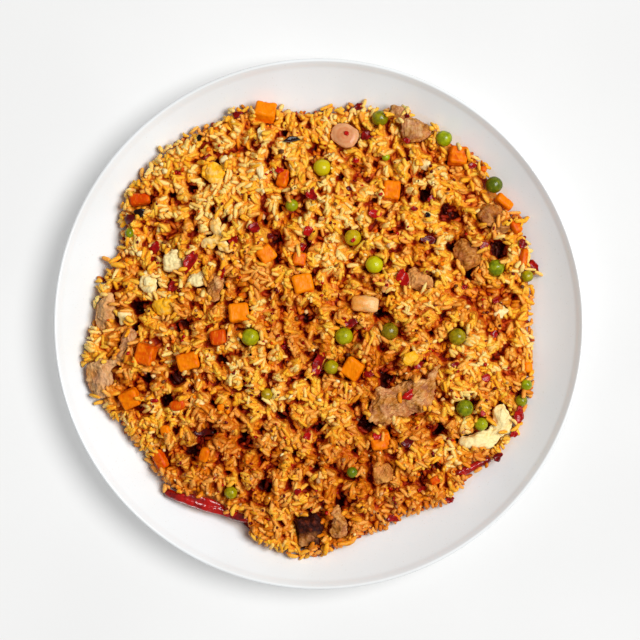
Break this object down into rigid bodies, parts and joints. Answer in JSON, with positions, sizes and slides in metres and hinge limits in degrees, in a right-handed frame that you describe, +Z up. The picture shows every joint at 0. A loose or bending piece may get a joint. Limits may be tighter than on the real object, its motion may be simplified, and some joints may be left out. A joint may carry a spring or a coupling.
{
  "type": "fried rice plate",
  "caption": "Round coupe plate with a low uneven heap of fried rice, mixed with peas, carrot dice, meat, egg, shallot and chilli.",
  "frame": {"origin": "the middle of the plate, on the surface that its foot ring stands on", "axes": "+Z up, +X and +Y in the plane of the table; seen from above, +X is the right and +Y the far side"},
  "size_m": [0.26, 0.26, 0.04],
  "materials": {
    "plate": "warm white gloss glaze",
    "rice": "oily cooked rice, golden",
    "pea": "shiny skin",
    "carrot": "moist cut faces",
    "meat": "browned, fibrous, moist",
    "egg": "soft scrambled curd",
    "shallot": "soft translucent slice",
    "chilli": "glossy skin"
  },
  "bodies": {
    "root": {"plate": "plate", "rice_heap": "rice", "pea_01": "pea", "pea_02": "pea", "pea_03": "pea", "pea_04": "pea", "pea_05": "pea", "pea_06": "pea", "pea_07": "pea", "pea_08": "pea", "pea_09": "pea", "pea_10": "pea", "pea_11": "pea", "pea_12": "pea", "pea_13": "pea", "pea_14": "pea", "pea_15": "pea", "pea_16": "pea", "pea_17": "pea", "pea_18": "pea", "pea_19": "pea", "carrot_dice_01": "carrot", "carrot_dice_02": "carrot", "carrot_dice_03": "carrot", "carrot_dice_04": "carrot", "carrot_dice_05": "carrot", "carrot_dice_06": "carrot", "carrot_dice_07": "carrot", "carrot_dice_08": "carrot", "carrot_dice_09": "carrot", "carrot_dice_10": "carrot", "carrot_dice_11": "carrot", "carrot_dice_12": "carrot", "carrot_dice_13": "carrot", "carrot_dice_14": "carrot", "carrot_dice_15": "carrot", "carrot_dice_16": "carrot", "carrot_dice_17": "carrot", "meat_01": "meat", "meat_02": "meat", "meat_03": "meat", "meat_04": "meat", "meat_05": "meat", "meat_06": "meat", "meat_07": "meat", "meat_08": "meat", "meat_09": "meat", "meat_10": "meat", "meat_11": "meat", "egg_01": "egg", "egg_02": "egg", "egg_03": "egg", "egg_04": "egg", "egg_05": "egg", "egg_06": "egg", "egg_07": "egg", "shallot_01": "shallot", "shallot_02": "shallot", "chilli_strip_01": "chilli", "chilli_strip_02": "chilli"}
  },
  "joints": []
}
